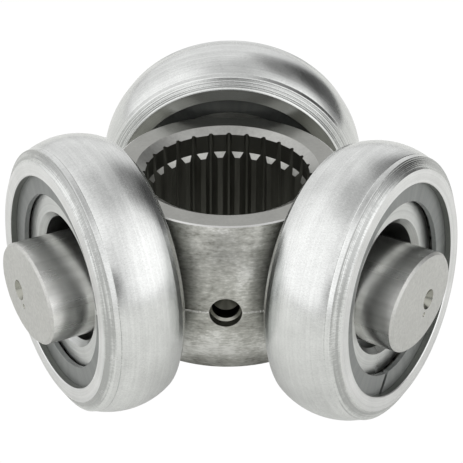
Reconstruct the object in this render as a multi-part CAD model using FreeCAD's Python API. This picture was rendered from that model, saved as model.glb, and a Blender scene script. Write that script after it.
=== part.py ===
# Sliding tripod joint: a splined spider with three elliptical trunnions, each
# carrying a roller cassette (outer roller, needle rollers, inner ring and two
# split retaining washers).
#
# Frame: millimetres, +Z up along the hub's spline axis, origin on that axis in
# the plane of the trunnions. The rear trunnion points along +Y, the left one to
# 210 degrees and the right one to 330 degrees, so the front gap faces -Y.
import FreeCAD, Part
import math
import os

V = FreeCAD.Vector

# ---------------------------------------------------------------- dimensions
# hub
HUB_HALF_HEIGHT = 14.3        # faces at z = +-14.3
HUB_EQUATOR_R = 23.65         # barrel radius at the forging's parting plane, z = 0
HUB_TOP_R = 19.6              # barrel radius carried up to the top face
HUB_BOTTOM_R = 18.95          # barrel radius carried down to the bottom face
TOP_EDGE_BREAK = 0.18
BOTTOM_EDGE_BREAK = 0.75
FLAT_DISTANCE = 18.85         # machined shoulder from the hub axis, square to each trunnion

# 45 degree spline, 28 teeth, module 1.0, with straight flanks
SPLINE_TEETH = 28
SPLINE_MODULE = 1.0
SPLINE_PITCH_R = 14.0
SPLINE_MAJOR_R = 14.6
SPLINE_MINOR_R = 13.7
SPLINE_PHASE_DEG = 0.95       # a space lies this far counter-clockwise of +Y, seen from above
MOUTH_CHAMFER_R = 15.92       # lead-in at both ends, at the faces
MOUTH_CHAMFER_SLOPE_DEG = 30.0
COUNTERBORE_R = 14.25         # turned from the upper mouth down, through most of each tooth
COUNTERBORE_END = 9.93        # height where its wall ends
LEDGE_SLOPE_DEG = 60.0        # the lower teeth start on this slope

# blind radial hole between the left and right trunnions
HOLE_AZIMUTH_DEG = 1.45       # from -Y towards +X
HOLE_MOUTH_R = 2.74
HOLE_MOUTH_DEPTH = 1.8
HOLE_R = 2.35
HOLE_DEPTH = 4.7
HOLE_TIP_ANGLE = 118.0

# trunnions
PIN_END = 38.18               # end faces from the hub axis
PIN_A = 10.62                 # half width, tangential: the loaded direction
PIN_B = 8.14                  # half height
PIN_CHAMFER = 0.40
PIN_ROOT_FILLET = 1.0
CENTRE_R = 1.8                # centre-drill mouth
CENTRE_PILOT_R = 0.8
CENTRE_PILOT_DEPTH = 3.4
PUNCH_R = 0.45
# centre-drill position on each end face: (tangential, up), and the punch mark
PIN_MARKS = {
    "rear": ((0.0, -1.0), (0.0, -3.25)),
    "left": ((-3.35, -1.05), (-1.5, -3.3)),
    "right": ((2.9, -0.9), (1.5, -3.2)),
}

# outer roller
ROLLER_W = 14.55
ROLLER_R = 24.03              # crown, at mid width
ROLLER_LAND_R = 22.84         # narrow cylindrical land at each end of the crown
ROLLER_LAND_X = 2.15          # crown starts this far from each face
ROLLER_CHAMFER_X = 1.22       # chamfer band ends this far from each face
ROLLER_FACE_R = 20.82         # flat face's outer radius
ROLLER_BORE_R = 18.45         # bore at each face
ROLLER_BORE_BREAK = 0.15
RACEWAY_R = 18.18

# retaining washers
WASHER_RECESS = 1.225
WASHER_T = 0.90
WASHER_INNER_R = 15.05
WASHER_OUTER_R = 19.25
WASHER_GAP = 0.90
GROOVE_SIDE_CLEARANCE = 0.03
GROOVE_R = 19.38

# needles
NEEDLE_COUNT = 42
NEEDLE_R = 1.23
NEEDLE_PITCH_R = 16.92
NEEDLE_LENGTH = 9.9
NEEDLE_END_BREAK = 0.20

# inner ring
RING_W = 9.5
RING_OUTER_R = 15.66
RING_CORNER_R = 0.65
RING_MOUTH_R = 11.78
RING_MOUTH_X = 1.05
RING_THROAT_R = 10.76
RING_BORE_CURVE_R = 80.0      # convex bore, so that the ring can rock on the trunnion

# cassettes: trunnion azimuth, outward position of the roller's mid plane along
# the trunnion, its height above the trunnion axis, tilt of its outer side up,
# the inner ring's own shift outwards inside the roller, and the split of the
# outer washer, clockwise from straight down as seen from outside
CASSETTES = {
    "rear": dict(azimuth=90.0, along=27.83, height=0.65, tilt=7.2, ring_shift=0.0, split=200.0),
    "left": dict(azimuth=210.0, along=26.09, height=0.75, tilt=0.74, ring_shift=0.125, split=265.0),
    "right": dict(azimuth=330.0, along=27.37, height=0.73, tilt=3.56, ring_shift=-0.195, split=17.0),
}
SPLIT_SLANT_DEG = 25.0


# ------------------------------------------------------------------- helpers
def ring_profile(items):
    """Closed face in the XZ plane from (r, z) points; an entry with four values
    (r, z, mid_r, mid_z) is reached by an arc through its mid point."""
    edges = []
    n = len(items)
    for i in range(n):
        a = items[i]
        b = items[(i + 1) % n]
        p = V(a[0], 0, a[1])
        q = V(b[0], 0, b[1])
        if len(b) == 4:
            edges.append(Part.Arc(p, V(b[2], 0, b[3]), q).toShape())
        else:
            edges.append(Part.LineSegment(p, q).toShape())
    return Part.Face(Part.Wire(edges))


def revolve(items):
    s = ring_profile(items).revolve(V(0, 0, 0), V(0, 0, 1), 360)
    return s if s.ShapeType == "Solid" else Part.Solid(s.Shells[0])


def arc_mid(cr, cz, rad, z):
    """Point of a circle in the profile plane, on its outer side, at height z."""
    return cr + math.sqrt(rad * rad - (z - cz) ** 2), z


def axes_of(azimuth, tilt=0.0):
    a = math.radians(azimuth)
    t = math.radians(tilt)
    out = V(math.cos(a), math.sin(a), 0)
    tan = V(-math.sin(a), math.cos(a), 0)
    n = out * math.cos(t) + V(0, 0, 1) * math.sin(t)
    return n, tan, n.cross(tan)


def place(azimuth, tilt, origin):
    """Local X tangential, local Y up, local Z outwards along the trunnion."""
    n, tan, up = axes_of(azimuth, tilt)
    m = FreeCAD.Matrix(tan.x, up.x, n.x, origin.x,
                       tan.y, up.y, n.y, origin.y,
                       tan.z, up.z, n.z, origin.z,
                       0, 0, 0, 1)
    return FreeCAD.Placement(m)


def placed(shape, pl):
    s = shape.copy()
    s.Placement = pl.multiply(s.Placement)
    return s


def box_between(x0, y0, z0, x1, y1, z1):
    return Part.makeBox(x1 - x0, y1 - y0, z1 - z0, V(x0, y0, z0))


# -------------------------------------------------------------------- spider
def hub_blank():
    h = HUB_HALF_HEIGHT
    d1 = HUB_EQUATOR_R - HUB_TOP_R
    d2 = HUB_EQUATOR_R - HUB_BOTTOM_R
    rad1 = (h * h + d1 * d1) / (2 * d1)
    rad2 = (h * h + d2 * d2) / (2 * d2)
    c1 = HUB_EQUATOR_R - rad1
    c2 = HUB_EQUATOR_R - rad2
    zt = h - TOP_EDGE_BREAK
    zb = -h + BOTTOM_EDGE_BREAK
    rt = arc_mid(c1, 0, rad1, zt)[0]
    rb = arc_mid(c2, 0, rad2, zb)[0]
    inner = 10.0
    mt = arc_mid(c1, 0, rad1, zt / 2)
    mb = arc_mid(c2, 0, rad2, zb / 2)
    return revolve([
        (inner, -h),
        (HUB_BOTTOM_R - BOTTOM_EDGE_BREAK, -h),
        (rb, zb, HUB_BOTTOM_R - 0.08, -h + 0.26),
        (HUB_EQUATOR_R, 0, mb[0], mb[1]),
        (rt, zt, mt[0], mt[1]),
        (HUB_TOP_R - TOP_EDGE_BREAK, h),
        (inner, h),
    ])


def shoulder_prism():
    """Triangular prism whose three faces are the shoulders."""
    pts = []
    for az in (30.0, 150.0, 270.0):
        r = FLAT_DISTANCE / math.cos(math.radians(60.0))
        pts.append(V(r * math.cos(math.radians(az)), r * math.sin(math.radians(az)), -30))
    pts.append(pts[0])
    return Part.Face(Part.makePolygon(pts)).extrude(V(0, 0, 60))


def trunnion(azimuth):
    """Elliptical pin, local Z outwards from the hub axis, with its end chamfer."""
    start = FLAT_DISTANCE - 0.8

    def section(a, b, z):
        e = Part.Ellipse(V(0, 0, z), a, b).toShape()
        return Part.Wire([e])

    body = Part.Face(section(PIN_A, PIN_B, start)).extrude(V(0, 0, PIN_END - PIN_CHAMFER - start))
    tip = Part.makeLoft([section(PIN_A, PIN_B, PIN_END - PIN_CHAMFER),
                         section(PIN_A - PIN_CHAMFER, PIN_B - PIN_CHAMFER, PIN_END)], True, True)
    return placed(body.fuse(tip), place(azimuth, 0.0, V(0, 0, 0)))


def spline_cutter():
    """Outline of the splined hole, extruded through the hub."""
    pitch = 2 * math.pi / SPLINE_TEETH

    def half_tooth(r):
        # flanks at 45 degrees: a space narrows by as much as the radius grows
        half_space = SPLINE_MODULE * math.pi / 4 - (r - SPLINE_PITCH_R)
        return pitch / 2 - half_space / r

    half_tip = half_tooth(SPLINE_MINOR_R)
    half_root = half_tooth(SPLINE_MAJOR_R)
    # tooth k is centred half a pitch from space k
    first = math.pi / 2 + math.radians(SPLINE_PHASE_DEG) + pitch / 2

    def pt(r, a):
        return V(r * math.cos(a), r * math.sin(a), -30)

    edges = []
    for k in range(SPLINE_TEETH):
        c = first + k * pitch
        r0 = pt(SPLINE_MAJOR_R, c - half_root)
        t0 = pt(SPLINE_MINOR_R, c - half_tip)
        tm = pt(SPLINE_MINOR_R, c)
        t1 = pt(SPLINE_MINOR_R, c + half_tip)
        r1 = pt(SPLINE_MAJOR_R, c + half_root)
        rm = pt(SPLINE_MAJOR_R, c + pitch / 2)
        r2 = pt(SPLINE_MAJOR_R, c + pitch - half_root)
        edges.append(Part.LineSegment(r0, t0).toShape())
        edges.append(Part.Arc(t0, tm, t1).toShape())
        edges.append(Part.LineSegment(t1, r1).toShape())
        edges.append(Part.Arc(r1, rm, r2).toShape())
    return Part.Face(Part.Wire(edges)).extrude(V(0, 0, 60))


def spider():
    body = hub_blank().common(shoulder_prism())
    for c in CASSETTES.values():
        body = body.fuse(trunnion(c["azimuth"]))
    body = body.removeSplitter()

    # root fillets where the trunnions leave the shoulders
    roots = []
    for c in CASSETTES.values():
        n = axes_of(c["azimuth"])[0]
        for e in body.Edges:
            span = e.LastParameter - e.FirstParameter
            pts = [e.valueAt(e.FirstParameter + f * span) for f in (0.0, 0.21, 0.5, 0.77, 1.0)]
            if all(abs(p.dot(n) - FLAT_DISTANCE) < 1e-3 and p.cross(n).Length < PIN_A + 0.01 for p in pts):
                roots.append(e)
    body = body.makeFillet(PIN_ROOT_FILLET, roots)

    # splined hole, its two lead-in chamfers and the counterbore
    body = body.cut(spline_cutter())
    h = HUB_HALF_HEIGHT
    slope = math.tan(math.radians(MOUTH_CHAMFER_SLOPE_DEG))
    over = 1.0
    r_in = 9.0
    for s in (1, -1):
        body = body.cut(revolve([
            (r_in, s * (h + over)),
            (MOUTH_CHAMFER_R + over / slope, s * (h + over)),
            (r_in, s * (h - slope * (MOUTH_CHAMFER_R - r_in))),
        ]))
    r_low = SPLINE_MINOR_R - 1.5
    body = body.cut(revolve([
        (r_low, h + over),
        (r_low, COUNTERBORE_END - (COUNTERBORE_R - r_low) * math.tan(math.radians(LEDGE_SLOPE_DEG))),
        (COUNTERBORE_R, COUNTERBORE_END),
        (COUNTERBORE_R, h + over),
    ]))

    # blind radial hole: wide mouth, step, drilled bore with a conical end
    tip = HOLE_R / math.tan(math.radians(HOLE_TIP_ANGLE / 2))
    top = HUB_EQUATOR_R
    drill = revolve([
        (0, 3.0), (HOLE_MOUTH_R, 3.0), (HOLE_MOUTH_R, -HOLE_MOUTH_DEPTH),
        (HOLE_R, -HOLE_MOUTH_DEPTH - (HOLE_MOUTH_R - HOLE_R)),
        (HOLE_R, -HOLE_DEPTH), (0, -HOLE_DEPTH - tip),
    ])
    az = -90.0 + HOLE_AZIMUTH_DEG
    n, tan, up = axes_of(az)
    body = body.cut(placed(drill, place(az, 0.0, n * top)))

    # centre drills and punch marks in the trunnion ends
    for name, c in CASSETTES.items():
        (ct, cu), (pt_, pu) = PIN_MARKS[name]
        cone = (CENTRE_R - CENTRE_PILOT_R) / math.tan(math.radians(30.0))
        centre = revolve([
            (0, 1.0), (CENTRE_R, 1.0), (CENTRE_R, 0.0), (CENTRE_PILOT_R, -cone),
            (CENTRE_PILOT_R, -CENTRE_PILOT_DEPTH), (0, -CENTRE_PILOT_DEPTH - 0.45),
        ])
        punch = revolve([(0, 1.0), (PUNCH_R, 1.0), (PUNCH_R, 0.0), (0, -0.4)])
        n, tan, up = axes_of(c["azimuth"])
        for tool, t, u in ((centre, ct, cu), (punch, pt_, pu)):
            body = body.cut(placed(tool, place(c["azimuth"], 0.0, n * PIN_END + tan * t + up * u)))
    body = body.removeSplitter()
    return body.Solids[0]


# ------------------------------------------------------------ cassette parts
def outer_roller():
    w = ROLLER_W / 2
    zc = w - ROLLER_CHAMFER_X
    zl = w - ROLLER_LAND_X
    g0 = w - WASHER_RECESS - WASHER_T - GROOVE_SIDE_CLEARANCE
    g1 = w - WASHER_RECESS + GROOVE_SIDE_CLEARANCE
    br = ROLLER_BORE_BREAK
    return revolve([
        (ROLLER_LAND_R, -zl),
        (ROLLER_LAND_R, zl, ROLLER_R, 0),
        (ROLLER_LAND_R, zc),
        (ROLLER_FACE_R, w),
        (ROLLER_BORE_R + br, w),
        (ROLLER_BORE_R, w - br),
        (ROLLER_BORE_R, g1),
        (GROOVE_R, g1),
        (GROOVE_R, g0),
        (RACEWAY_R, g0),
        (RACEWAY_R, -g0),
        (GROOVE_R, -g0),
        (GROOVE_R, -g1),
        (ROLLER_BORE_R, -g1),
        (ROLLER_BORE_R, -w + br),
        (ROLLER_BORE_R + br, -w),
        (ROLLER_FACE_R, -w),
        (ROLLER_LAND_R, -zc),
    ])


def inner_ring():
    w = RING_W / 2
    c = RING_CORNER_R
    k = c * (1 - math.sqrt(0.5))
    xm = w - RING_MOUTH_X
    cr = RING_THROAT_R + RING_BORE_CURVE_R
    rm = cr - math.sqrt(RING_BORE_CURVE_R ** 2 - xm * xm)
    # the first point is reached from the last one by the convex bore
    return revolve([
        (rm, -xm, RING_THROAT_R, 0),
        (RING_MOUTH_R, -w),
        (RING_OUTER_R - c, -w),
        (RING_OUTER_R, -w + c, RING_OUTER_R - k, -w + k),
        (RING_OUTER_R, w - c),
        (RING_OUTER_R - c, w, RING_OUTER_R - k, w - k),
        (RING_MOUTH_R, w),
        (rm, xm),
    ])


def split_washer(split):
    b = 0.06
    t = WASHER_T / 2
    disc = revolve([
        (WASHER_INNER_R + b, -t), (WASHER_OUTER_R, -t), (WASHER_OUTER_R, t), (WASHER_INNER_R + b, t),
        (WASHER_INNER_R, t - b), (WASHER_INNER_R, -t + b),
    ])
    # slot across the band, turned a little off the radius
    mid = (WASHER_INNER_R + WASHER_OUTER_R) / 2
    slot = box_between(-WASHER_GAP / 2, -4.0, -2.0, WASHER_GAP / 2, 4.0, 2.0)
    slot.rotate(V(0, 0, 0), V(0, 0, 1), -SPLIT_SLANT_DEG)
    slot.translate(V(0, -mid, 0))
    slot.rotate(V(0, 0, 0), V(0, 0, 1), -split)
    return disc.cut(slot).Solids[0]


def needle_set():
    e = NEEDLE_END_BREAK
    h = NEEDLE_LENGTH / 2
    one = revolve([
        (0, -h), (NEEDLE_R - e, -h), (NEEDLE_R, -h + e),
        (NEEDLE_R, h - e), (NEEDLE_R - e, h), (0, h),
    ])
    solids = []
    for i in range(NEEDLE_COUNT):
        a = 2 * math.pi * i / NEEDLE_COUNT
        s = one.copy()
        s.translate(V(NEEDLE_PITCH_R * math.cos(a), NEEDLE_PITCH_R * math.sin(a), 0))
        solids.append(s)
    return Part.makeCompound(solids)


# --------------------------------------------------------------------- write
def main():
    os.makedirs("parts", exist_ok=True)
    nodes = {"spider": spider()}
    roller = outer_roller()
    ring = inner_ring()
    needles = needle_set()
    washer_z = ROLLER_W / 2 - WASHER_RECESS - WASHER_T / 2
    for name, c in CASSETTES.items():
        n, tan, up = axes_of(c["azimuth"], c["tilt"])
        out = axes_of(c["azimuth"])[0]
        centre = out * c["along"] + V(0, 0, c["height"])
        pl = place(c["azimuth"], c["tilt"], centre)
        nodes["outer_roller_" + name] = placed(roller, pl)
        nodes["inner_ring_" + name] = placed(ring, place(c["azimuth"], c["tilt"], centre + n * c["ring_shift"]))
        nodes["needle_rollers_" + name] = placed(needles, pl)
        nodes["outer_washer_" + name] = placed(split_washer(c["split"]), place(c["azimuth"], c["tilt"], centre + n * washer_z))
        nodes["inner_washer_" + name] = placed(split_washer(c["split"] + 150.0), place(c["azimuth"], c["tilt"], centre - n * washer_z))
        print(name, "centre", tuple(round(v, 4) for v in centre), "axis", tuple(round(v, 6) for v in n),
              "lowest", round(centre.z - (ROLLER_R), 3))
    for name, shape in nodes.items():
        shape.exportStep("parts/" + name + ".step")
        bb = shape.BoundBox
        print(name, shape.ShapeType, len(shape.Solids), "valid", shape.isValid(), "vol", round(shape.Volume, 1),
              "faces", len(shape.Faces), [round(v, 2) for v in (bb.XMin, bb.XMax, bb.YMin, bb.YMax, bb.ZMin, bb.ZMax)])


main()
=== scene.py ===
import math
import random

import bpy
from mathutils import Matrix, Vector


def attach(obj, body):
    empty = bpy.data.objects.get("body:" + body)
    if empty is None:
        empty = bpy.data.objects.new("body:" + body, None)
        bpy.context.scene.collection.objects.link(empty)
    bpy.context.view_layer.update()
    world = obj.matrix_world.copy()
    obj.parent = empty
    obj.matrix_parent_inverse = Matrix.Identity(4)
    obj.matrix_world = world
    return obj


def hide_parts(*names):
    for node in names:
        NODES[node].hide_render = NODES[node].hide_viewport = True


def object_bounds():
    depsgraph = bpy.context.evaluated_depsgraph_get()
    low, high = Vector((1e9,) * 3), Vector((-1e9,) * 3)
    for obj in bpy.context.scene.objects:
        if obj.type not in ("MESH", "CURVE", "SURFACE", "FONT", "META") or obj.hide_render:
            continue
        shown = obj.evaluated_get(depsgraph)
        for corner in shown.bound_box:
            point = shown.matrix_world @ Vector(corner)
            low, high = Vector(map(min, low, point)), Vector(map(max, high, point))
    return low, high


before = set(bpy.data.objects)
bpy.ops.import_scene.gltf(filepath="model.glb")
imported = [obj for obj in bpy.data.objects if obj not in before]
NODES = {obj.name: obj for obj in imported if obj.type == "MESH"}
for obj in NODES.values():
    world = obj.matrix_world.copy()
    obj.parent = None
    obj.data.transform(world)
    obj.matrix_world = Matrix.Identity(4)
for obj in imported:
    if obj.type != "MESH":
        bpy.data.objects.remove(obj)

cad_lo, cad_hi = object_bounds()

MM = 0.001
SCENE = bpy.context.scene
SCENE.view_settings.view_transform = "Standard"
SCENE.view_settings.look = "None"
SCENE.view_settings.exposure = 0.0
SCENE.view_settings.gamma = 1.0

# ------------------------------------------------------------------ camera
az, el = math.radians(1.944), math.radians(31.063)
dist = 345.43 * MM
yaw, pitch, roll = 0.0022, 0.0042, math.radians(0.2615)
eye = Vector((math.sin(az) * math.cos(el), -math.cos(az) * math.cos(el), math.sin(el))) * dist
fwd = -eye.normalized()
right = fwd.cross(Vector((0, 0, 1))).normalized()
up = right.cross(fwd)
fwd = (fwd + right * yaw + up * pitch).normalized()
right = fwd.cross(Vector((0, 0, 1))).normalized()
up = right.cross(fwd)
c, s = math.cos(roll), math.sin(roll)
right, up = right * c + up * s, up * c - right * s
cam_data = bpy.data.cameras.new("camera")
cam_data.lens = 1963.7 / 463 * 36.0
cam_data.sensor_width = 36.0
cam_data.clip_start = 0.01
cam_data.clip_end = 20.0
cam = bpy.data.objects.new("camera", cam_data)
cam.matrix_world = Matrix((
    (right.x, up.x, -fwd.x, eye.x),
    (right.y, up.y, -fwd.y, eye.y),
    (right.z, up.z, -fwd.z, eye.z),
    (0, 0, 0, 1)))
SCENE.collection.objects.link(cam)
SCENE.camera = cam

# --------------------------------------------------------------- cassettes
CASSETTES = {
    "rear": dict(azimuth=90.0, along=27.83, height=0.65, tilt=7.2, ring_shift=0.0),
    "left": dict(azimuth=210.0, along=26.09, height=0.75, tilt=0.74, ring_shift=0.125),
    "right": dict(azimuth=330.0, along=27.37, height=0.73, tilt=3.56, ring_shift=-0.195),
}


def local_frame(azimuth, tilt, origin):
    """Local X tangential, Y up, Z outwards along the roller's axis; millimetres in, metres out."""
    a, t = math.radians(azimuth), math.radians(tilt)
    out = Vector((math.cos(a), math.sin(a), 0))
    tan = Vector((-math.sin(a), math.cos(a), 0))
    n = out * math.cos(t) + Vector((0, 0, 1)) * math.sin(t)
    v = n.cross(tan)
    o = origin * MM
    return Matrix(((tan.x, v.x, n.x, o.x), (tan.y, v.y, n.y, o.y), (tan.z, v.z, n.z, o.z), (0, 0, 0, 1)))


for name, q in CASSETTES.items():
    a = math.radians(q["azimuth"])
    out = Vector((math.cos(a), math.sin(a), 0))
    centre = out * q["along"] + Vector((0, 0, q["height"]))
    q["centre"] = centre
    q["frame"] = local_frame(q["azimuth"], q["tilt"], centre)

# ----------------------------------------------------------- node helpers


class Net:
    """Short-hand for building a material's node tree."""

    def __init__(self, name):
        self.mat = bpy.data.materials.new(name)
        self.mat.use_nodes = True
        self.nt = self.mat.node_tree
        self.nt.nodes.clear()
        self.out = self.add("ShaderNodeOutputMaterial")
        self.bsdf = self.add("ShaderNodeBsdfPrincipled")
        self.nt.links.new(self.bsdf.outputs[0], self.out.inputs[0])

    def add(self, kind, **props):
        n = self.nt.nodes.new(kind)
        for k, v in props.items():
            setattr(n, k, v)
        return n

    def link(self, a, b):
        self.nt.links.new(a, b)

    def put(self, sock, v):
        if hasattr(v, "is_output") or isinstance(v, bpy.types.NodeSocket):
            self.link(v, sock)
        else:
            sock.default_value = v

    def math(self, op, a, b=None, c=None, clamp=False):
        n = self.add("ShaderNodeMath", operation=op, use_clamp=clamp)
        self.put(n.inputs[0], a)
        if b is not None:
            self.put(n.inputs[1], b)
        if c is not None:
            self.put(n.inputs[2], c)
        return n.outputs[0]

    def coords(self):
        return self.add("ShaderNodeTexCoord").outputs["Object"]

    def split(self, v):
        n = self.add("ShaderNodeSeparateXYZ")
        self.link(v, n.inputs[0])
        return n.outputs[0], n.outputs[1], n.outputs[2]

    def join(self, x, y, z):
        n = self.add("ShaderNodeCombineXYZ")
        self.put(n.inputs[0], x)
        self.put(n.inputs[1], y)
        self.put(n.inputs[2], z)
        return n.outputs[0]

    def noise(self, vec, scale, detail=3.0, rough=0.5, dims="3D"):
        n = self.add("ShaderNodeTexNoise", noise_dimensions=dims)
        if vec is not None:
            self.link(vec, n.inputs["Vector"])
        n.inputs["Scale"].default_value = scale
        n.inputs["Detail"].default_value = detail
        n.inputs["Roughness"].default_value = rough
        return n.outputs["Fac"]

    def ramp(self, fac, stops, interp="LINEAR"):
        n = self.add("ShaderNodeValToRGB")
        n.color_ramp.interpolation = interp
        cr = n.color_ramp
        while len(cr.elements) < len(stops):
            cr.elements.new(0.5)
        for e, (p, col) in zip(cr.elements, stops):
            e.position = p
            e.color = (col, col, col, 1) if isinstance(col, (int, float)) else (*col, 1)
        self.link(fac, n.inputs[0])
        return n.outputs[0]

    def mix(self, fac, a, b):
        n = self.add("ShaderNodeMix", data_type="RGBA")
        self.put(n.inputs[0], fac)
        for sock, v in ((n.inputs[6], a), (n.inputs[7], b)):
            if isinstance(v, tuple):
                sock.default_value = (*v, 1)
            else:
                self.put(sock, v)
        return n.outputs[2]

    def rng(self, v, a, b, c, d, clamp=True):
        n = self.add("ShaderNodeMapRange", clamp=clamp)
        self.link(v, n.inputs[0])
        for i, x in enumerate((a, b, c, d)):
            n.inputs[i + 1].default_value = x
        return n.outputs[0]

    def bump(self, height, strength, distance, normal=None):
        n = self.add("ShaderNodeBump")
        n.inputs["Strength"].default_value = strength
        n.inputs["Distance"].default_value = distance
        self.link(height, n.inputs["Height"])
        if normal is not None:
            self.link(normal, n.inputs["Normal"])
        return n.outputs[0]


def scaled(net, v, sx, sy, sz):
    n = net.add("ShaderNodeVectorMath", operation="MULTIPLY")
    net.link(v, n.inputs[0])
    n.inputs[1].default_value = (sx, sy, sz)
    return n.outputs[0]


def turned_coords(net):
    """The piece's own lathe coordinates, stored in mm: (cos, sin, radius, height)."""
    at = net.add("ShaderNodeAttribute", attribute_type="GEOMETRY", attribute_name="turned")
    x, y, z = net.split(at.outputs["Vector"])
    r = net.math("SQRT", net.math("ADD", net.math("MULTIPLY", x, x), net.math("MULTIPLY", y, y)))
    cx = net.math("DIVIDE", x, net.math("MAXIMUM", r, 1e-3))
    cy = net.math("DIVIDE", y, net.math("MAXIMUM", r, 1e-3))
    return cx, cy, r, z


def turned_metal(name, color, rough, cloud=0.03, lines=0.0, line_freq=9.0, grain=0.0, seed=0.0, spread=0.06):
    """Lathe-turned or ground steel: tone and roughness drift slowly, with fine rings about local Z."""
    net = Net(name)
    b = net.bsdf
    b.inputs["Metallic"].default_value = 1.0
    cx, cy, r, z = turned_coords(net)
    # fine rings: noise stretched round the axis
    ringv = net.join(net.math("MULTIPLY_ADD", cx, 0.55, seed), net.math("MULTIPLY", cy, 0.55), net.math("MULTIPLY", net.math("ADD", r, net.math("MULTIPLY", z, 1.0)), line_freq))
    rings = net.noise(ringv, 1.0, 4.0, 0.62)
    cloudv = net.join(net.math("MULTIPLY_ADD", cx, 3.0, seed), net.math("MULTIPLY", cy, 3.0), net.math("MULTIPLY", z, 0.16))
    clouds = net.noise(cloudv, 1.2, 4.0, 0.55)
    grainv = net.join(net.math("MULTIPLY", cx, 60.0), net.math("MULTIPLY", cy, 60.0), net.math("MULTIPLY", net.math("ADD", z, r), 2.2))
    grains = net.noise(grainv, 1.6, 5.0, 0.7)
    tone = net.math("ADD", net.math("MULTIPLY", net.math("SUBTRACT", clouds, 0.5), cloud * 2.0),
                    net.math("ADD", net.math("MULTIPLY", net.math("SUBTRACT", rings, 0.5), lines * 2.0),
                             net.math("MULTIPLY", net.math("SUBTRACT", grains, 0.5), grain * 2.0)))
    hi = tuple(min(1.0, x * 1.25) for x in color)
    lo = tuple(x * 0.75 for x in color)
    fac = net.math("ADD", tone, 0.5, clamp=True)
    net.link(net.mix(fac, lo, hi), b.inputs["Base Color"])
    rr = net.math("ADD", rough, net.math("MULTIPLY", net.math("SUBTRACT", clouds, 0.5), spread * 2.0))
    rr = net.math("ADD", rr, net.math("MULTIPLY", net.math("SUBTRACT", grains, 0.5), spread), clamp=True)
    net.link(rr, b.inputs["Roughness"])
    h = net.math("ADD", net.math("MULTIPLY", rings, 1.0), net.math("MULTIPLY", grains, 0.5))
    net.link(net.bump(h, 0.20, 0.00001), b.inputs["Normal"])
    return net.mat


M_CROWN = turned_metal("roller_crown_steel", (0.74, 0.75, 0.74), 0.23, cloud=0.45, lines=0.35, line_freq=2.2, grain=0.55, spread=0.08)
M_ROLLER_FACE = turned_metal("roller_face_steel", (0.80, 0.81, 0.80), 0.33, cloud=0.30, lines=0.40, line_freq=4.0, grain=0.30, seed=3.0)
M_ROLLER_BAND = turned_metal("roller_band_steel", (0.62, 0.63, 0.62), 0.26, cloud=0.50, lines=3.2, line_freq=3.4, grain=1.2, seed=7.0)
# painted shade: the roller's inner end face, towards the hub, is a darker copy of the outer face steel
M_ROLLER_INNER_SHADED = turned_metal("roller_inner_face_painted_shade_steel", (0.52, 0.53, 0.51), 0.34, cloud=0.30, lines=0.40, line_freq=4.0, grain=0.30, seed=5.0)
M_ROLLER_BORE = turned_metal("roller_bore_steel", (0.30, 0.31, 0.29), 0.38, cloud=0.30, lines=0.40, seed=11.0)
M_RING = turned_metal("ring_steel", (0.66, 0.67, 0.66), 0.30, cloud=0.30, lines=0.50, line_freq=4.0, grain=0.2, seed=17.0)
M_RING_BORE = turned_metal("ring_bore_steel", (0.36, 0.37, 0.36), 0.32, cloud=0.30, lines=0.30, seed=19.0)
M_RING_TRACK = turned_metal("ring_track_steel", (0.18, 0.185, 0.17), 0.40, cloud=0.05, lines=0.04, seed=29.0)


def washer_material(name, lo, hi):
    net = Net(name)
    b = net.bsdf
    b.inputs["Metallic"].default_value = 0.75
    cx, cy, r, z = turned_coords(net)
    v = net.join(net.math("MULTIPLY", cx, 14.0), net.math("MULTIPLY", cy, 14.0), net.math("MULTIPLY", z, 0.4))
    n1 = net.noise(v, 1.0, 4.0, 0.6)
    v2 = net.join(net.math("MULTIPLY", cx, 90.0), net.math("MULTIPLY", cy, 90.0), net.math("MULTIPLY", r, 4.0))
    n2 = net.noise(v2, 1.0, 3.0, 0.7)
    fac = net.math("ADD", net.math("MULTIPLY", n1, 0.7), net.math("MULTIPLY", n2, 0.3))
    net.link(net.ramp(fac, [(0.3, lo), (0.7, hi)]), b.inputs["Base Color"])
    net.link(net.rng(n2, 0.3, 0.7, 0.34, 0.46), b.inputs["Roughness"])
    net.link(net.bump(n2, 0.3, 0.00001), b.inputs["Normal"])
    return net.mat


M_WASHER = {
    "outer": washer_material("washer_slate_steel", (0.235, 0.245, 0.243), (0.315, 0.325, 0.320)),
    # painted shade: the inner washers are a darker copy of the washer steel, where they sit in the roller's shadow
    "inner": washer_material("washer_inner_painted_shade_steel", (0.085, 0.090, 0.088), (0.125, 0.130, 0.125)),
}

# ------------------------------------------------------------- lathe pieces
SEG = 240


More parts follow.
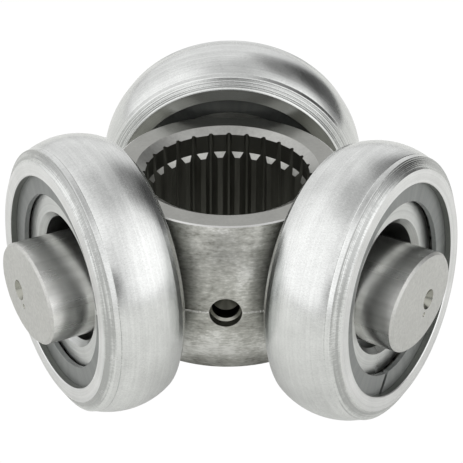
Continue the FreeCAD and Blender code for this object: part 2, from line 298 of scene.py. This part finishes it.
def rounded(points):
    """Closed (r, z) profile in mm with a fillet radius per point -> list of (r, z, nr, nz, tag).
    A point is (r, z, fillet, tag); the tag names the stretch that starts there. Points with a
    fillet of None are samples of a smooth curve."""
    n = len(points)
    outp = []
    area = sum(points[i][0] * points[(i + 1) % n][1] - points[(i + 1) % n][0] * points[i][1] for i in range(n))
    sgn = 1.0 if area > 0 else -1.0

    def seg_normal(a, b):
        dr, dz = b[0] - a[0], b[1] - a[1]
        k = math.hypot(dr, dz) or 1.0
        return (dz / k * sgn, -dr / k * sgn)

    for i in range(n):
        p0, p1, p2 = points[i - 1], points[i], points[(i + 1) % n]
        n0, n1 = seg_normal(p0, p1), seg_normal(p1, p2)
        f = p1[2]
        tag_in, tag_out = p0[3], p1[3]
        if f is None:
            nr, nz = n0[0] + n1[0], n0[1] + n1[1]
            k = math.hypot(nr, nz) or 1.0
            outp.append((p1[0], p1[1], nr / k, nz / k, tag_out))
            continue
        cosang = max(-1.0, min(1.0, n0[0] * n1[0] + n0[1] * n1[1]))
        ang = math.acos(cosang)
        if f <= 0 or ang < 0.02:
            outp.append((p1[0], p1[1], n0[0], n0[1], tag_in))
            outp.append((p1[0], p1[1], n1[0], n1[1], tag_out))
            continue
        d0 = math.hypot(p1[0] - p0[0], p1[1] - p0[1])
        d1 = math.hypot(p2[0] - p1[0], p2[1] - p1[1])
        cut = min(f * math.tan(ang / 2), 0.45 * d0, 0.45 * d1)
        f = cut / math.tan(ang / 2)
        u0 = ((p0[0] - p1[0]) / d0, (p0[1] - p1[1]) / d0)
        t0 = (p1[0] + u0[0] * cut, p1[1] + u0[1] * cut)
        # convex corners have their centre on the inner side
        cr = n0[0] * n1[1] - n0[1] * n1[0]
        side = 1.0 if cr * sgn > 0 else -1.0
        cen = (t0[0] - n0[0] * f * side, t0[1] - n0[1] * f * side)
        a0 = math.atan2(n0[1] * side, n0[0] * side)
        da = math.atan2(n0[0] * n1[1] - n0[1] * n1[0], cosang)
        m = max(2, int(math.ceil(ang / math.radians(18))))
        for j in range(m + 1):
            a = a0 + da * j / m
            ca, sa = math.cos(a), math.sin(a)
            tag = tag_in if j < m / 2 else tag_out
            outp.append((cen[0] + ca * f, cen[1] + sa * f, ca * side, sa * side, tag if j < m else tag_out))
    return outp


def lathe(name, prof, mats, matrix, seg=SEG):
    """prof: output of rounded(). mats: {tag: material}. Revolved about the matrix's own Z, with exact normals."""
    turn = matrix.to_3x3()
    local = []
    tags = list(dict.fromkeys(p[4] for p in prof))
    used = [t for t in tags]
    verts, norms, faces, fm = [], [], [], []
    m = len(prof)
    for k in range(seg):
        a = 2 * math.pi * k / seg
        ca, sa = math.cos(a), math.sin(a)
        for r, z, nr, nz, t in prof:
            local += [r * ca, r * sa, z]
            verts.append(tuple(matrix @ Vector((r * ca * MM, r * sa * MM, z * MM))))
            norms.append(tuple(turn @ Vector((nr * ca, nr * sa, nz))))
    for k in range(seg):
        k2 = (k + 1) % seg
        for i in range(m):
            j = (i + 1) % m
            p, q = prof[i], prof[j]
            if abs(p[0] - q[0]) < 1e-9 and abs(p[1] - q[1]) < 1e-9:
                continue
            faces.append((k * m + i, k2 * m + i, k2 * m + j, k * m + j))
            fm.append(used.index(p[4]))
    me = bpy.data.meshes.new(name)
    me.from_pydata(verts, [], faces)
    me.polygons.foreach_set("use_smooth", [True] * len(faces))
    me.polygons.foreach_set("material_index", fm)
    for t in used:
        me.materials.append(mats[t])
    me.update()
    # outward check on one face
    f0 = me.polygons[0]
    want = Vector(norms[f0.vertices[0]]) + Vector(norms[f0.vertices[2]])
    if f0.normal.dot(want) < 0:
        me.flip_normals()
    me.normals_split_custom_set_from_vertices(norms)
    me.attributes.new("turned", "FLOAT_VECTOR", "POINT").data.foreach_set("vector", local)
    ob = bpy.data.objects.new(name, me)
    SCENE.collection.objects.link(ob)
    return ob


def arc3(r0, z0, r1, z1, rm, zm, n, tag):
    """Samples of the circle through three profile points, without its two ends."""
    ax, ay, bx, by, cx_, cy_ = r0, z0, rm, zm, r1, z1
    d = 2 * (ax * (by - cy_) + bx * (cy_ - ay) + cx_ * (ay - by))
    ux = ((ax * ax + ay * ay) * (by - cy_) + (bx * bx + by * by) * (cy_ - ay) + (cx_ * cx_ + cy_ * cy_) * (ay - by)) / d
    uy = ((ax * ax + ay * ay) * (cx_ - bx) + (bx * bx + by * by) * (ax - cx_) + (cx_ * cx_ + cy_ * cy_) * (bx - ax)) / d
    rad = math.hypot(ax - ux, ay - uy)
    a0, a1 = math.atan2(ay - uy, ax - ux), math.atan2(cy_ - uy, cx_ - ux)
    am = math.atan2(by - uy, bx - ux)

    def unwrap(a, ref):
        while a - ref > math.pi:
            a -= 2 * math.pi
        while a - ref < -math.pi:
            a += 2 * math.pi
        return a
    am = unwrap(am, a0)
    a1 = unwrap(a1, am)
    return [(ux + rad * math.cos(a0 + (a1 - a0) * i / n), uy + rad * math.sin(a0 + (a1 - a0) * i / n), None, tag) for i in range(1, n)]


def grooved(r0, z0, r1, z1, pitch, depth, tag, rng_, ends=0.12):
    """Samples between two profile points with fine turning grooves cut below the line."""
    length = math.hypot(r1 - r0, z1 - z0)
    ur, uz = (r1 - r0) / length, (z1 - z0) / length
    nr, nz = uz, -ur          # right-hand side of the direction of travel
    pts = []
    x = ends
    while x < length - ends - pitch:
        p = pitch * rng_.uniform(0.75, 1.25)
        d = depth * rng_.uniform(0.35, 1.0)
        for f, k in ((0.0, 0.0), (0.3, 0.75), (0.5, 1.0), (0.7, 0.75)):
            t = x + f * p
            pts.append((r0 + ur * t - nr * d * k, z0 + uz * t - nz * d * k, None, tag))
        x += p
    return pts


def roller_profile(seed, inner_drop):
    rg = random.Random(seed)
    W, CR, LR, LX, CX, FR, BR = 14.55 / 2, 24.03, 22.84, 2.15, 1.22, 20.82, 18.45
    g1, g0, GR, RW = W - 1.195, W - 2.155, 19.38, 18.18
    zl, zc = W - LX, W - CX
    P = []
    # counter-clockwise in (r, z): up the outside, in over the outer face, down the bore
    CE, LE = LR + 0.10, LR - 0.10      # the crown eases into each land, which falls a little outwards
    LI = CE - inner_drop
    P.append((CE, -zl, 1.0, "crown"))
    P += arc3(CE, -zl, CE, zl, CR, 0, 44, "crown")
    P += [(CE, zl, 0.0, "band"), (CE - 0.06, zl + 0.05, 0.0, "band"), (CE - 0.03, zl + 0.12, 0.05, "crown")]
    P.append((LE, zc, 0.15, "band"))
    P += grooved(LE, zc, FR, W, 0.30, 0.045, "band", rg, ends=0.22)
    P.append((FR, W, 0.10, "face"))
    P += grooved(FR, W, BR + 0.15, W, 0.32, 0.0035, "face", rg)
    P.append((BR + 0.15, W, 0.05, "face"))
    P.append((BR, W - 0.15, 0.05, "bore"))
    P.append((BR, g1, 0.03, "bore"))
    P.append((GR, g1, 0.0, "bore"))
    P.append((GR, g0, 0.0, "bore"))
    P.append((RW, g0, 0.05, "bore"))
    P.append((RW, -g0, 0.05, "bore"))
    P.append((GR, -g0, 0.0, "bore"))
    P.append((GR, -g1, 0.0, "bore"))
    P.append((BR, -g1, 0.03, "bore"))
    P.append((BR, -W + 0.15, 0.05, "inner"))
    P.append((BR + 0.15, -W, 0.05, "inner"))
    P += grooved(BR + 0.15, -W, FR, -W, 0.32, 0.0035, "inner", rg)
    P.append((FR, -W, 0.10, "band"))
    P += grooved(FR, -W, LI, -zc, 0.30, 0.045, "band", rg, ends=0.22)
    P.append((LI, -zc, 0.30, "crown"))
    if inner_drop < 0.3:
        P += [(CE - 0.03, -zl - 0.12, 0.05, "band"), (CE - 0.06, -zl - 0.05, 0.0, "band")]
    return P


def ring_profile():
    w, oc = 9.5 / 2, 0.65
    OR, MR, TR, BC = 15.66, 11.78, 10.76, 80.0
    xm = w - 1.05
    cr = TR + BC
    rm = cr - math.sqrt(BC * BC - xm * xm)
    k = oc * (1 - math.sqrt(0.5))
    P = [(rm, -xm, 0.15, "chamfer"), (MR, -w, 0.10, "face"), (OR - oc, -w, None, "face")]
    P += arc3(OR - oc, -w, OR, -w + oc, OR - k, -w + k, 6, "face")
    P.append((OR, -w + oc, None, "track"))
    P.append((OR, w - oc, None, "face"))
    P += arc3(OR, w - oc, OR - oc, w, OR - k, w - k, 6, "face")
    P += [(OR - oc, w, None, "face"), (MR, w, 0.10, "chamfer"), (rm, xm, 0.15, "bore")]
    P += arc3(rm, xm, rm, -xm, TR, 0, 24, "bore")
    return P


def world_copy(node, name, matrix=None):
    """A copy of a CAD node's mesh in the same place, with lathe coordinates about the matrix's own Z."""
    me = NODES[node].data.copy()
    me.name = name
    if matrix is not None:
        inv = matrix.inverted()
        local = []
        for v in me.vertices:
            local += [c / MM for c in inv @ v.co]
        me.attributes.new("turned", "FLOAT_VECTOR", "POINT").data.foreach_set("vector", local)
    ob = bpy.data.objects.new(name, me)
    SCENE.collection.objects.link(ob)
    return ob


for i, (name, q) in enumerate(CASSETTES.items()):
    M = q["frame"]
    ob = lathe("roller_" + name + "_ground", rounded(roller_profile(11 + i, 0.20 if name == "rear" else 0.48)),
               {"crown": M_CROWN, "band": M_ROLLER_BAND, "face": M_ROLLER_FACE, "inner": M_ROLLER_INNER_SHADED, "bore": M_ROLLER_BORE}, M)
    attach(ob, "roller_" + name)
    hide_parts("outer_roller_" + name)

    ob = lathe("ring_" + name + "_ground", rounded(ring_profile()),
               {"chamfer": M_RING, "face": M_RING, "bore": M_RING_BORE, "track": M_RING_TRACK},
               M @ Matrix.Translation((0, 0, q["ring_shift"] * MM)), seg=200)
    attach(ob, "ring_" + name)
    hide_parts("inner_ring_" + name)

    for side in ("outer", "inner"):
        ob = world_copy(f"{side}_washer_{name}", f"washer_{side}_{name}_dark", M)
        ob.data.materials.clear()
        ob.data.materials.append(M_WASHER[side])
        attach(ob, "roller_" + name)
        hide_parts(f"{side}_washer_{name}")

# ------------------------------------------------------------------ spider


def steel(name, color, rough, spread=0.06, cloud=0.10, fine=0.05, cloud_scale=180.0, fine_scale=2600.0,
          stretch=(1, 1, 1), bump=0.25, bump_d=0.00002, metallic=1.0, detail=4.0):
    net = Net(name)
    b = net.bsdf
    b.inputs["Metallic"].default_value = metallic
    co = net.coords()
    cl = net.noise(co, cloud_scale, detail, 0.55)
    fi = net.noise(scaled(net, co, *stretch), fine_scale, 4.0, 0.65)
    tone = net.math("ADD", net.math("MULTIPLY", net.math("SUBTRACT", cl, 0.5), cloud * 2.0),
                    net.math("MULTIPLY", net.math("SUBTRACT", fi, 0.5), fine * 2.0))
    fac = net.math("ADD", tone, 0.5, clamp=True)
    net.link(net.mix(fac, tuple(x * 0.7 for x in color), tuple(min(1, x * 1.3) for x in color)), b.inputs["Base Color"])
    rr = net.math("ADD", rough, net.math("MULTIPLY", net.math("SUBTRACT", fi, 0.5), spread * 2.0), clamp=True)
    net.link(rr, b.inputs["Roughness"])
    net.link(net.bump(fi, bump, bump_d), b.inputs["Normal"])
    return net.mat


M_NEEDLE = steel("needle_steel", (0.18, 0.18, 0.165), 0.45, cloud=0.06, fine=0.05, fine_scale=1200.0, bump=0.05)
for name in CASSETTES:
    n = NODES["needle_rollers_" + name]
    n.data.materials.clear()
    n.data.materials.append(M_NEEDLE)


def pin_steel(name, axis):
    """Ground trunnion: painted reflection, soft light and dark streaks that run along the pin."""
    net = Net(name)
    b = net.bsdf
    b.inputs["Metallic"].default_value = 1.0
    co = net.coords()
    dot = net.add("ShaderNodeVectorMath", operation="DOT_PRODUCT")
    net.link(co, dot.inputs[0])
    dot.inputs[1].default_value = axis
    sc = net.add("ShaderNodeVectorMath", operation="SCALE")
    sc.inputs[0].default_value = axis
    net.link(net.math("MULTIPLY", dot.outputs["Value"], 0.96), sc.inputs["Scale"])
    sub = net.add("ShaderNodeVectorMath", operation="SUBTRACT")
    net.link(co, sub.inputs[0])
    net.link(sc.outputs[0], sub.inputs[1])
    broad = net.noise(sub.outputs[0], 260.0, 2.0, 0.5)
    fine = net.noise(sub.outputs[0], 1100.0, 2.0, 0.5)
    cloud = net.noise(co, 220.0, 3.0, 0.5)
    # painted reflection: the broad streaks along the pin stand in for the environment's reflection bands
    tone = net.math("ADD", net.math("MULTIPLY", broad, 0.5), net.math("ADD", net.math("MULTIPLY", fine, 0.15), net.math("MULTIPLY", cloud, 0.35)))
    net.link(net.ramp(tone, [(0.36, (0.50, 0.50, 0.48)), (0.46, (0.66, 0.66, 0.64)), (0.56, (0.80, 0.80, 0.78)), (0.66, (0.90, 0.90, 0.88))]), b.inputs["Base Color"])
    net.link(net.rng(broad, 0.3, 0.7, 0.33, 0.25), b.inputs["Roughness"])
    net.link(net.bump(fine, 0.06, 0.00002), b.inputs["Normal"])
    return net.mat


def forged_steel():
    """Barrel of the hub: mottled skin with fine horizontal machining marks, plus a painted highlight band below the
    middle and painted shade on the right side, towards the bottom and near the top.
    """
    net = Net("hub_forged_steel_painted_light")
    b = net.bsdf
    b.inputs["Metallic"].default_value = 1.0
    co = net.coords()
    mott = net.noise(co, 330.0, 4.0, 0.6)
    broad = net.noise(scaled(net, co, 1.0, 1.0, 0.7), 120.0, 2.0, 0.5)
    marks = net.noise(scaled(net, co, 60.0, 60.0, 1150.0), 1.0, 3.0, 0.6)
    short = net.noise(scaled(net, co, 1100.0, 1100.0, 3400.0), 1.0, 3.0, 0.6)
    x, y, z = net.split(co)
    # painted highlight: a brighter band across the barrel about 6.8 mm below the middle
    low = net.add("ShaderNodeMapRange", interpolation_type="SMOOTHSTEP")
    net.link(net.math("ABSOLUTE", net.math("ADD", z, 0.0068)), low.inputs[0])
    for i, v in enumerate((0.0012, 0.0052, 0.085, 0.0)):
        low.inputs[i + 1].default_value = v
    # painted shade: darker on the right side (+X), towards the bottom and near the top
    side = net.math("ADD", net.rng(x, 0.002, 0.010, 0.0, -0.045), net.rng(z, -0.0098, -0.0130, 0.0, -0.06))
    high = net.rng(z, 0.006, 0.013, 0.0, -0.03)
    tone = net.math("ADD", net.math("ADD", net.math("MULTIPLY", mott, 0.30), net.math("MULTIPLY", broad, 0.26)),
                    net.math("ADD", net.math("MULTIPLY", marks, 0.14), net.math("MULTIPLY", short, 0.30)))
    tone = net.math("ADD", tone, net.math("ADD", low.outputs[0], net.math("ADD", side, high)))
    net.link(net.ramp(tone, [(0.37, (0.20, 0.20, 0.175)), (0.45, (0.37, 0.37, 0.34)), (0.53, (0.52, 0.52, 0.485)), (0.63, (0.82, 0.82, 0.79))]), b.inputs["Base Color"])
    net.link(net.rng(mott, 0.3, 0.7, 0.46, 0.30), b.inputs["Roughness"])
    h = net.math("ADD", net.math("MULTIPLY", marks, 0.8), net.math("ADD", net.math("MULTIPLY", short, 0.4), net.math("MULTIPLY", mott, 0.9)))
    net.link(net.bump(h, 0.22, 0.00005), b.inputs["Normal"])
    return net.mat


M_FORGED_PAINTED_LIGHT = forged_steel()
M_TOP = steel("hub_face_steel", (0.38, 0.38, 0.36), 0.33, cloud=0.30, fine=0.30, fine_scale=1800.0, bump=0.05)
M_CHAMFER = steel("hub_chamfer_steel", (0.50, 0.50, 0.48), 0.32, cloud=0.40, fine=0.35, fine_scale=1600.0, bump=0.06)
M_LEDGE = steel("spline_ledge_steel", (0.50, 0.50, 0.475), 0.34, cloud=0.7, fine=0.3, cloud_scale=400.0, bump=0.06)
# painted shade: the counterbore's vertical wall is made near black
M_WALL_SHADED = steel("counterbore_painted_shade_steel", (0.13, 0.13, 0.112), 0.42, cloud=0.08, fine=0.08, fine_scale=1.0, stretch=(900.0, 900.0, 90.0), bump=0.08)


def spline_steel():
    """Splined wall: painted shade, dark at depth and a little lighter at the height of the counterbore."""
    net = Net("spline_painted_shade_steel")
    b = net.bsdf
    b.inputs["Metallic"].default_value = 1.0
    co = net.coords()
    x, y, z = net.split(co)
    # painted shade: the wall darkens with depth in the bore
    up = net.rng(z, 0.0086, 0.0104, 0.0, 1.0)
    fine = net.noise(scaled(net, co, 900.0, 900.0, 70.0), 1.0, 3.0, 0.6)
    cloud = net.noise(co, 260.0, 3.0, 0.5)
    shade_deep_colour = net.ramp(fine, [(0.3, (0.115, 0.115, 0.098)), (0.7, (0.175, 0.175, 0.152))])
    shade_upper_colour = net.ramp(fine, [(0.3, (0.15, 0.15, 0.13)), (0.7, (0.22, 0.22, 0.192))])
    net.link(net.mix(up, shade_deep_colour, shade_upper_colour), b.inputs["Base Color"])
    net.link(net.rng(cloud, 0.3, 0.7, 0.44, 0.56), b.inputs["Roughness"])
    net.link(net.bump(fine, 0.10, 0.00002), b.inputs["Normal"])
    return net.mat


M_SPLINE_SHADED = spline_steel()
# painted highlight: the hub's top edge break is made much lighter than the face beside it
M_EDGE_HIGHLIGHT = steel("edge_break_painted_highlight_steel", (0.78, 0.78, 0.76), 0.30, cloud=0.06, fine=0.05, bump=0.05)
M_PIN_END = steel("pin_end_steel", (0.61, 0.61, 0.59), 0.46, cloud=0.10, fine=0.45, fine_scale=1800.0, bump=0.05)
M_FLAT = steel("shoulder_steel", (0.28, 0.28, 0.265), 0.36, bump=0.08)
# painted shade: the blind hole's depth is made near black, while its mouth keeps a lighter steel
M_HOLE_SHADED = steel("hole_painted_shade_steel", (0.075, 0.075, 0.062), 0.30, cloud=0.2, cloud_scale=500.0, bump=0.06)
M_MOUTH = steel("hole_mouth_steel", (0.40, 0.40, 0.36), 0.34, cloud=0.1, cloud_scale=500.0, bump=0.06)
M_CENTRE = steel("centre_drill_steel", (0.36, 0.36, 0.32), 0.22, bump=0.05)
M_RIB = steel("parting_line_steel", (0.66, 0.66, 0.63), 0.34, cloud=0.16, fine=0.10, cloud_scale=500.0, bump=0.2)

sp = world_copy("spider", "spider_machined")
me = sp.data
me.materials.clear()
outs = [Vector((math.cos(math.radians(q["azimuth"])), math.sin(math.radians(q["azimuth"])), 0)) for q in CASSETTES.values()]
pins = [pin_steel("pin_painted_reflection_steel_" + name, tuple(o)) for name, o in zip(CASSETTES, outs)]
zones = [M_FORGED_PAINTED_LIGHT, M_TOP, M_CHAMFER, M_SPLINE_SHADED, M_WALL_SHADED, M_LEDGE, M_FLAT, M_PIN_END, M_HOLE_SHADED, M_CENTRE] + pins + [M_EDGE_HIGHLIGHT, M_MOUTH]
for m in zones:
    me.materials.append(m)
PIN_END, FLAT, FACE_Z = 38.18, 18.85, 14.3
hole_dir = Vector((math.cos(math.radians(-88.55)), math.sin(math.radians(-88.55)), 0))
for p in me.polygons:
    cc = p.center * 1000.0
    nn = p.normal
    rad = math.hypot(cc.x, cc.y)
    oi = max(range(3), key=lambda k: cc.dot(outs[k]))
    o = outs[oi]
    along = cc.dot(o)
    off = (cc - o * along).length
    radial = (nn.x * cc.x + nn.y * cc.y) / max(rad, 1e-6)
    hd = cc.dot(hole_dir)
    h = (cc - hole_dir * hd).length
    k = 0
    if rad < 14.65 and abs(cc.z) < 14.0:
        k = 3
        if abs(nn.z) > 0.35:
            k = 5 if cc.z < 10.2 and cc.z > 0 else 2
        elif cc.z > 9.6:
            k = 4
    elif rad < 15.93 and abs(nn.z) > 0.7 and abs(nn.z) < 0.93:
        k = 2
    elif abs(nn.z) > 0.97 and abs(cc.z) > FACE_Z - 0.05:
        k = 1
    elif along > PIN_END - 0.42 and nn.dot(o) > 0.3 and off > 7.4:
        k = 7
    elif along > PIN_END - 4.5 and off < 7.4 and not (along > PIN_END - 0.01):
        k = 9
    elif along > PIN_END - 0.42 and nn.dot(o) > 0.3:
        k = 7
    elif abs(along - FLAT) < 0.02 and nn.dot(o) > 0.9:
        k = 6
    elif along > FLAT and off < 11.8:
        k = 10 + oi
    # blind hole: near-black painted shade in its depth, lighter steel at the mouth
    elif hd > 17 and h < 2.8 and (hd < 23.3 or nn.dot(hole_dir) < 0.8):
        k = 14 if h > 2.25 and hd > 21.3 else 8
    # the top edge break, which carries the painted highlight
    elif abs(cc.z) > FACE_Z - 0.2 and rad > 19.2 and 0.25 < nn.z < 0.97:
        k = 13
    p.material_index = k
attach(sp, "spider")
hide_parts("spider")


def parting_rib(name, a0, a1, seed):
    """Thin raised line of the forging's parting plane, along the barrel at z = 0; degrees in, closed mesh."""
    rg = random.Random(seed)
    n = max(12, int(abs(a1 - a0) * 3))
    verts, faces = [], []
    for i in range(n + 1):
        f = i / n
        a = math.radians(a0 + (a1 - a0) * f)
        taper = min(1.0, f / 0.06, (1.0 - f) / 0.06)
        hgt = (0.03 + 0.15 * taper) * rg.uniform(0.8, 1.15)
        hw = 0.15 * rg.uniform(0.85, 1.15)
        dz = rg.uniform(-0.03, 0.03)
        ca, sa = math.cos(a), math.sin(a)
        for r, z in ((23.35, -hw - 0.10), (23.64, -hw - 0.03), (23.64 + hgt, -hw * 0.55), (23.64 + hgt, hw * 0.55), (23.64, hw + 0.03), (23.35, hw + 0.10)):
            verts.append((r * ca * MM, r * sa * MM, (z + dz) * MM))
    for i in range(n):
        for j in range(6):
            k = (j + 1) % 6
            faces.append((i * 6 + j, i * 6 + k, (i + 1) * 6 + k, (i + 1) * 6 + j))
    faces.append((0, 5, 4, 3, 2, 1))
    faces.append(tuple(n * 6 + j for j in range(6)))
    m = bpy.data.meshes.new(name)
    m.from_pydata(verts, [], faces)
    m.update()
    v = Vector((math.cos(math.radians((a0 + a1) / 2)), math.sin(math.radians((a0 + a1) / 2)), 0))
    side = max(m.polygons, key=lambda f: abs(f.normal.dot(v)) if f.center.length > 0.02355 else 0)
    if side.normal.dot(v) < 0:
        m.flip_normals()
    m.materials.append(M_RIB)
    ob = bpy.data.objects.new(name, m)
    SCENE.collection.objects.link(ob)
    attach(ob, "spider")
    return ob


parting_rib("parting_line_front_left", -112.3, -95.4, 1)
parting_rib("parting_line_front_right", -81.8, -67.7, 2)
parting_rib("parting_line_right", 7.7, 52.3, 3)
parting_rib("parting_line_left", 127.7, 172.3, 4)

# -------------------------------------------------------- floor and lights
FLOOR_Z = cad_lo[2]
fm = Net("floor_pale")
fm.bsdf.inputs["Base Color"].default_value = (0.62, 0.622, 0.60, 1)
fm.bsdf.inputs["Roughness"].default_value = 0.9
fm.bsdf.inputs["Specular IOR Level"].default_value = 0.0
fm.bsdf.inputs["Emission Color"].default_value = (1, 1, 1, 1)
fm.bsdf.inputs["Emission Strength"].default_value = 0.27
white = fm.add("ShaderNodeEmission")
white.inputs["Strength"].default_value = 1.02
seen = fm.add("ShaderNodeLightPath")
both = fm.add("ShaderNodeMixShader")
fm.link(seen.outputs["Is Camera Ray"], both.inputs[0])
fm.link(fm.bsdf.outputs[0], both.inputs[1])
fm.link(white.outputs[0], both.inputs[2])
fm.link(both.outputs[0], fm.out.inputs[0])
fme = bpy.data.meshes.new("floor")
S = 3.0
fme.from_pydata([(-S, -S, FLOOR_Z), (S, -S, FLOOR_Z), (S, S, FLOOR_Z), (-S, S, FLOOR_Z)], [], [(0, 1, 2, 3)])
fme.materials.append(fm.mat)
floor = bpy.data.objects.new("floor", fme)
SCENE.collection.objects.link(floor)

world = bpy.data.worlds.new("studio")
SCENE.world = world
world.use_nodes = True
wt = world.node_tree
wt.nodes.clear()
wo = wt.nodes.new("ShaderNodeOutputWorld")
bg = wt.nodes.new("ShaderNodeBackground")
wt.links.new(bg.outputs[0], wo.inputs[0])
tc = wt.nodes.new("ShaderNodeTexCoord")
norm = wt.nodes.new("ShaderNodeVectorMath")
norm.operation = "NORMALIZE"
wt.links.new(tc.outputs["Generated"], norm.inputs[0])


def wmath(op, a, b=None, clamp=False):
    n = wt.nodes.new("ShaderNodeMath")
    n.operation = op
    n.use_clamp = clamp
    for i, v in enumerate((a, b)):
        if v is None:
            continue
        if isinstance(v, (int, float)):
            n.inputs[i].default_value = v
        else:
            wt.links.new(v, n.inputs[i])
    return n.outputs[0]


def lobe(azimuth, elevation, inner, outer):
    """1 within inner degrees of a direction, falling smoothly to 0 at outer. Azimuth 0 is +Y, 90 is +X."""
    a, e = math.radians(azimuth), math.radians(elevation)
    d = (math.sin(a) * math.cos(e), math.cos(a) * math.cos(e), math.sin(e))
    dot = wt.nodes.new("ShaderNodeVectorMath")
    dot.operation = "DOT_PRODUCT"
    wt.links.new(norm.outputs[0], dot.inputs[0])
    dot.inputs[1].default_value = d
    ang = wmath("ARCCOSINE", dot.outputs["Value"])
    mr = wt.nodes.new("ShaderNodeMapRange")
    mr.interpolation_type = "SMOOTHSTEP"
    wt.links.new(ang, mr.inputs[0])
    mr.inputs[1].default_value = math.radians(inner)
    mr.inputs[2].default_value = math.radians(outer)
    mr.inputs[3].default_value = 1.0
    mr.inputs[4].default_value = 0.0
    return mr.outputs[0]


val = wmath("ADD", 0.86, 0.0)
# two wide soft boxes, left and right of the camera, and darker surroundings between and above them
for spec in ((114, 26, 14, 56, 0.46), (-118, 28, 30, 68, 0.34)):
    val = wmath("ADD", val, wmath("MULTIPLY", lobe(*spec[:4]), spec[4]))
for spec in ((47, 14, 14, 31, 0.90), (42, 40, 10, 30, 0.72), (15, 82, 8, 34, 0.36), (180, 16, 6, 19, 0.80), (76, 10, 4, 15, 0.5)):
    val = wmath("MULTIPLY", val, wmath("SUBTRACT", 1.0, wmath("MULTIPLY", lobe(*spec[:4]), spec[4])))
# soft darker band along the horizon
sep = wt.nodes.new("ShaderNodeSeparateXYZ")
wt.links.new(norm.outputs[0], sep.inputs[0])
hz = wt.nodes.new("ShaderNodeMapRange")
hz.interpolation_type = "SMOOTHSTEP"
wt.links.new(wmath("ABSOLUTE", wmath("SUBTRACT", sep.outputs[2], 0.02)), hz.inputs[0])
for i, v in enumerate((0.01, 0.075, 0.62, 1.0)):
    hz.inputs[i + 1].default_value = v
val = wmath("MULTIPLY", val, hz.outputs[0])
lp = wt.nodes.new("ShaderNodeLightPath")
val = wmath("MAXIMUM", val, wmath("MULTIPLY", lp.outputs["Is Camera Ray"], 1.02))
wt.links.new(val, bg.inputs["Strength"])
bg.inputs["Color"].default_value = (1.0, 1.0, 1.0, 1)
